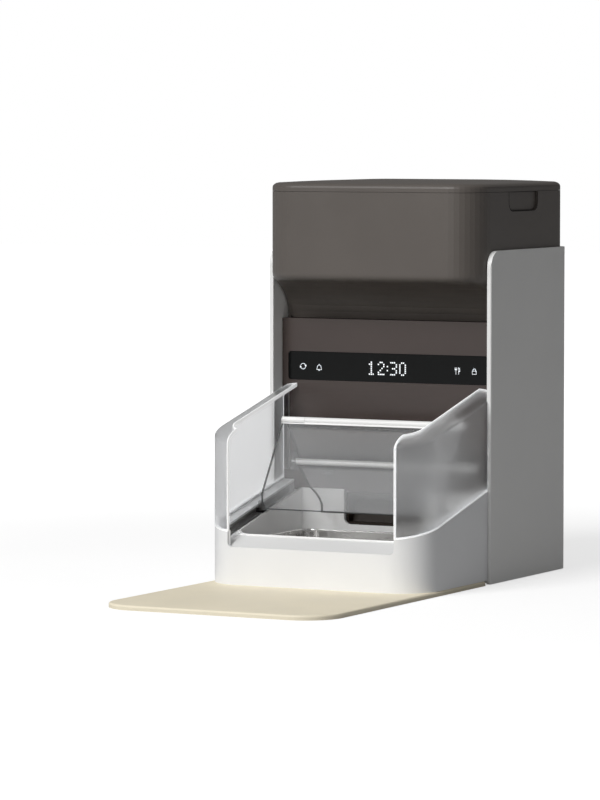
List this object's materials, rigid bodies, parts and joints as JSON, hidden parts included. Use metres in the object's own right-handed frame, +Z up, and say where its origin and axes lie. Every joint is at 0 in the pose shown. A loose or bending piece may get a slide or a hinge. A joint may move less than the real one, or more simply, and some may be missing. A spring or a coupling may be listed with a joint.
{
  "type": "microchip pet feeder",
  "caption": "Automatic pet feeder with a dark food tank and display panel in a white shell, a bowl bay with clear side shields, a folding clear lid and a mat.",
  "frame": {"origin": "on the floor, under the middle of the bounding box of feeder and mat", "axes": "+Z up, the animal eats from the -Y side, +X to the right when facing the bay from the front"},
  "size_m": [0.23, 0.511, 0.3709],
  "materials": {
    "white_shell": "fine matt texture, off white",
    "white_base": "satin white",
    "white_inner": "satin off white",
    "brown_hopper": "fine matt texture, dark brown",
    "brown_panel": "matt, warm brown",
    "dark_part": "matt black brown",
    "display_black": "gloss black with white lit dots and icons",
    "clear": "clear plastic, slightly smoky",
    "frosted": "satin clear plastic",
    "bowl_steel": "brushed stainless steel",
    "steel": "plain steel",
    "mat_cream": "soft matt cream",
    "rubber": "matt rubber",
    "board": "circuit board",
    "reader_coil": "copper coil on a board",
    "silicone": "translucent silicone",
    "brass": "brass",
    "acetal": "acetal plastic"
  },
  "bodies": {
    "housing": {"outer_shell": "white_shell", "base_plate": "white_base", "rubber_feet": "rubber", "base_screws": "steel", "battery_box": "dark_part", "battery_door": "white_base", "power_inlet": "dark_part", "main_board": "board", "speaker": "dark_part", "hopper_body": "brown_hopper", "hopper_funnel": "brown_hopper", "drum_housing": "white_inner", "dispenser_motor": "steel", "food_chute": "dark_part", "chute_sensors": "dark_part", "front_panel": "brown_panel", "display_lens": "display_black", "display_board": "board", "tag_reader": "reader_coil", "base_tub": "white_base", "left_rail": "dark_part", "right_rail": "dark_part", "left_shield": "frosted", "right_shield": "frosted", "feeding_tray": "white_inner", "bowl": "bowl_steel", "outlet_guard": "clear", "front_mat": "mat_cream", "hinge_brackets": "white_inner", "lid_motor": "steel", "drive_cover": "brown_panel"},
    "hopper_lid": {"hopper_lid": "brown_hopper", "lid_seal": "silicone", "desiccant_box": "white_inner"},
    "latch_left": {"left_latch": "brown_hopper"},
    "latch_right": {"right_latch": "brown_hopper"},
    "rear_leaf": {"hinge_shaft": "steel", "rear_leaf": "clear", "hinge_bar": "white_inner", "rear_ridge_bar": "white_inner", "ridge_rod": "steel", "lid_gear": "acetal"},
    "front_leaf": {"front_ridge_bar": "white_inner", "front_leaf": "clear", "guide_pins": "dark_part"},
    "lid_pinion": {"lid_pinion": "brass"},
    "rotor": {"rotor": "silicone", "rotor_shaft": "steel"}
  },
  "joints": [
    {"name": "rear_leaf_hinge", "type": "hinge", "parent": "housing", "child": "rear_leaf", "pos_m": [0, 0.0885, 0.106], "axis": [1, 0, 0], "range_deg": [0, 64.6]},
    {"name": "front_leaf_hinge", "type": "hinge", "parent": "rear_leaf", "child": "front_leaf", "pos_m": [0, 0.0595, 0.147], "axis": [1, 0, 0], "range_deg": [-99.39, 0]},
    {"name": "lid_pinion_spin", "type": "hinge", "parent": "housing", "child": "lid_pinion", "pos_m": [0.0987, 0.1046, 0.106], "axis": [1, 0, 0], "range_deg": [-107.68, 0]},
    {"name": "hopper_lid_lift", "type": "slide", "parent": "housing", "child": "hopper_lid", "axis": [0, 0, 1], "range_m": [0, 0.06]},
    {"name": "left_latch_press", "type": "slide", "parent": "housing", "child": "latch_left", "axis": [1, 0, 0], "range_m": [0, 0.0025], "stiffness_N_per_m": 900},
    {"name": "right_latch_press", "type": "slide", "parent": "housing", "child": "latch_right", "axis": [-1, 0, 0], "range_m": [0, 0.0025], "stiffness_N_per_m": 900},
    {"name": "rotor_spin", "type": "hinge", "parent": "housing", "child": "rotor", "pos_m": [0, 0.1755, 0.176], "axis": [0, 0, 1], "continuous": true}
  ],
  "couplings": [
    {"joint": "front_leaf_hinge", "follows": "rear_leaf_hinge", "ratio": -1.5384},
    {"joint": "lid_pinion_spin", "follows": "rear_leaf_hinge", "ratio": -1.6667}
  ]
}
